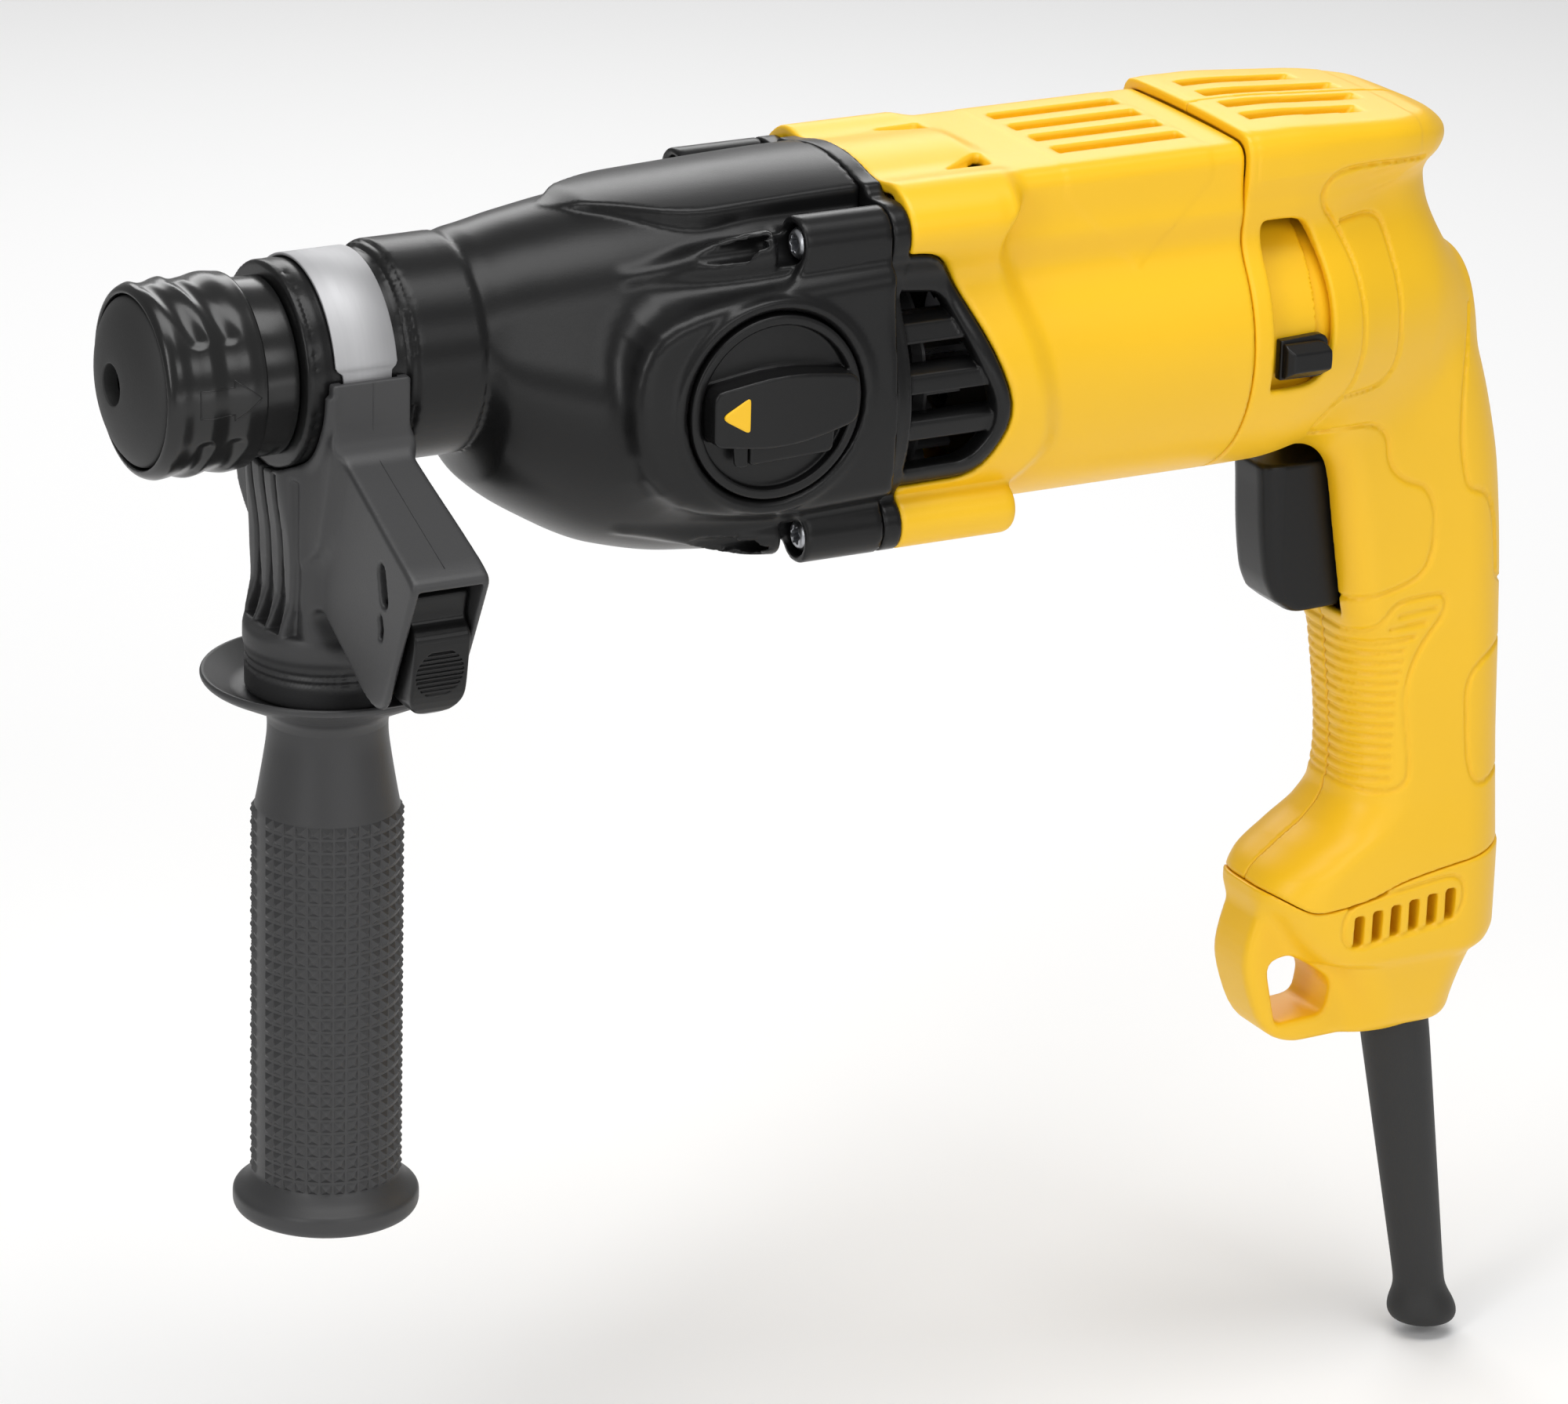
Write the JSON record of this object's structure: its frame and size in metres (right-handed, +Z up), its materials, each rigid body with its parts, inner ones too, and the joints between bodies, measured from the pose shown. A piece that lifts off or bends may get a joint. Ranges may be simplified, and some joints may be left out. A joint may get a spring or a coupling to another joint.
{
  "type": "rotary hammer drill",
  "caption": "Pistol-grip electric rotary hammer with a keyless tool holder, mode selector, trigger, reversing lever, clamped side handle with depth-stop button, and a lanyard loop.",
  "frame": {"origin": "centre of the beat piece's front face, which a tool shank strikes, on the spindle's axis and in the side handle's plane", "axes": "+X along the spindle's axis from the tool holder towards the rear handle, +Z up, away from the side handle as it hangs; -Y is the side with the mode selector"},
  "size_m": [0.3633, 0.1042, 0.3246],
  "materials": {
    "yellow_housing": "satin moulded nylon",
    "black_nylon": "satin moulded nylon",
    "grey_nylon": "matt moulded nylon",
    "black_rubber": "matt rubber",
    "band_steel": "brushed",
    "bright_steel": "ground",
    "dark_steel": "phosphated",
    "copper": "turned copper",
    "brass": "pressed brass",
    "carbon": "pressed graphite"
  },
  "bodies": {
    "housing": {"gearbox_housing": "black_nylon", "inner_housing": "black_nylon", "motor_housing": "yellow_housing", "handle_left": "yellow_housing", "handle_right": "yellow_housing", "handle_base": "yellow_housing", "cord_sleeve": "black_rubber", "field_stator": "dark_steel", "switch_body": "grey_nylon", "front_seal": "black_rubber", "spindle_front_bearing": "bright_steel", "spindle_rear_bearing": "bright_steel", "intermediate_front_bearing": "bright_steel", "intermediate_rear_bearing": "bright_steel", "armature_front_bearing": "bright_steel", "armature_rear_bearing": "bright_steel", "gearbox_screw_upper_left": "dark_steel", "gearbox_screw_upper_right": "dark_steel", "gearbox_screw_lower_left": "dark_steel", "gearbox_screw_lower_right": "dark_steel", "handle_screw_1": "dark_steel", "handle_screw_2": "dark_steel", "handle_screw_3": "dark_steel"},
    "spindle": {"spindle": "bright_steel", "spindle_gear": "dark_steel", "dust_cap": "black_rubber", "chuck_collar": "dark_steel", "locking_ball_left": "bright_steel", "locking_ball_right": "bright_steel", "sleeve_spring": "bright_steel"},
    "locking_sleeve": {"locking_sleeve": "black_nylon"},
    "beat_piece": {"beat_piece": "bright_steel"},
    "striker": {"striker": "bright_steel"},
    "piston": {"piston": "dark_steel"},
    "wobble": {"wobble_ring": "bright_steel"},
    "intermediate_shaft": {"intermediate_shaft": "bright_steel", "wobble_drum": "dark_steel", "drive_gear": "dark_steel"},
    "clutch_sleeve": {"clutch_sleeve": "dark_steel"},
    "shift_fork": {"shift_fork": "dark_steel"},
    "mode_knob": {"mode_knob": "black_nylon", "mode_arrow": "yellow_housing"},
    "mode_lock_button": {"mode_lock_button": "black_nylon"},
    "armature": {"armature_shaft": "bright_steel", "armature_core": "dark_steel", "commutator": "copper", "fan": "grey_nylon"},
    "brush_plate": {"brush_ring": "black_nylon", "reverse_lever": "black_nylon", "brush_holder_left": "brass", "brush_holder_right": "brass", "carbon_brush_left": "carbon", "carbon_brush_right": "carbon"},
    "trigger": {"trigger": "black_nylon"},
    "side_handle": {"side_handle_bracket": "grey_nylon"},
    "clamp": {"clamp_band": "band_steel", "clamp_bolt": "bright_steel"},
    "side_grip": {"side_grip": "grey_nylon"},
    "depth_stop_button": {"depth_stop_button": "black_nylon"}
  },
  "joints": [
    {"name": "spindle_spin", "type": "hinge", "parent": "housing", "child": "spindle", "pos_m": [0, 0, 0], "axis": [1, 0, 0], "continuous": true},
    {"name": "intermediate_spin", "type": "hinge", "parent": "housing", "child": "intermediate_shaft", "pos_m": [0.09, 0, -0.03195], "axis": [1, 0, 0], "continuous": true},
    {"name": "armature_spin", "type": "hinge", "parent": "housing", "child": "armature", "pos_m": [0.18, 0, -0.0176], "axis": [1, 0, 0], "continuous": true},
    {"name": "sleeve_slide", "type": "slide", "parent": "spindle", "child": "locking_sleeve", "axis": [1, 0, 0], "range_m": [0, 0.007], "stiffness_N_per_m": 900, "springref_m": -0.004},
    {"name": "beat_piece_slide", "type": "slide", "parent": "spindle", "child": "beat_piece", "axis": [1, 0, 0], "range_m": [-0.006, 0]},
    {"name": "striker_slide", "type": "slide", "parent": "spindle", "child": "striker", "axis": [1, 0, 0], "range_m": [0, 0.01]},
    {"name": "wobble_rock", "type": "hinge", "parent": "housing", "child": "wobble", "pos_m": [0.1, 0, -0.03195], "axis": [0, 1, 0], "range_deg": [-10, 10]},
    {"name": "piston_slide", "type": "slide", "parent": "housing", "child": "piston", "axis": [1, 0, 0], "range_m": [-0.0058, 0.0058]},
    {"name": "mode_knob_turn", "type": "hinge", "parent": "housing", "child": "mode_knob", "pos_m": [0.092, -0.04, -0.012], "axis": [0, 1, 0], "range_deg": [-90, 90]},
    {"name": "mode_lock_press", "type": "slide", "parent": "mode_knob", "child": "mode_lock_button", "axis": [0, 1, 0], "range_m": [0, 0.0016], "stiffness_N_per_m": 400, "springref_m": -0.001},
    {"name": "shift_fork_slide", "type": "slide", "parent": "housing", "child": "shift_fork", "axis": [1, 0, 0], "range_m": [-0.0026, 0.0026]},
    {"name": "clutch_sleeve_slide", "type": "slide", "parent": "intermediate_shaft", "child": "clutch_sleeve", "axis": [1, 0, 0], "range_m": [-0.0026, 0.0026]},
    {"name": "trigger_pull", "type": "slide", "parent": "housing", "child": "trigger", "axis": [1, 0, 0], "range_m": [0, 0.006], "stiffness_N_per_m": 1200, "springref_m": -0.004},
    {"name": "reverse_lever_turn", "type": "hinge", "parent": "housing", "child": "brush_plate", "pos_m": [0.234, 0, -0.0176], "axis": [1, 0, 0], "range_deg": [-36, 0]},
    {"name": "side_handle_swing", "type": "hinge", "parent": "housing", "child": "side_handle", "pos_m": [0, 0, 0], "axis": [1, 0, 0], "continuous": true},
    {"name": "side_grip_twist", "type": "hinge", "parent": "side_handle", "child": "side_grip", "pos_m": [0.0008, 0, -0.12], "axis": [0, 0, 1], "range_deg": [-360, 0]},
    {"name": "clamp_slide", "type": "slide", "parent": "side_handle", "child": "clamp", "axis": [0, 0, 1], "range_m": [0, 0.0013]},
    {"name": "depth_stop_press", "type": "hinge", "parent": "side_handle", "child": "depth_stop_button", "pos_m": [0, -0.0585, -0.0345], "axis": [1, 0, 0], "range_deg": [0, 4], "stiffness_Nm_per_rad": 1.5, "springref_deg": -5.73}
  ],
  "couplings": [
    {"joint": "intermediate_spin", "follows": "spindle_spin", "ratio": -3.8333},
    {"joint": "armature_spin", "follows": "spindle_spin", "ratio": 18.619},
    {"joint": "piston_slide", "follows": "wobble_rock", "m_per_rad": 0.03195},
    {"joint": "shift_fork_slide", "follows": "mode_knob_turn", "m_per_rad": 0.0015915},
    {"joint": "clutch_sleeve_slide", "follows": "mode_knob_turn", "m_per_rad": 0.0015915},
    {"joint": "clamp_slide", "follows": "side_grip_twist", "m_per_rad": -0.00019894}
  ]
}
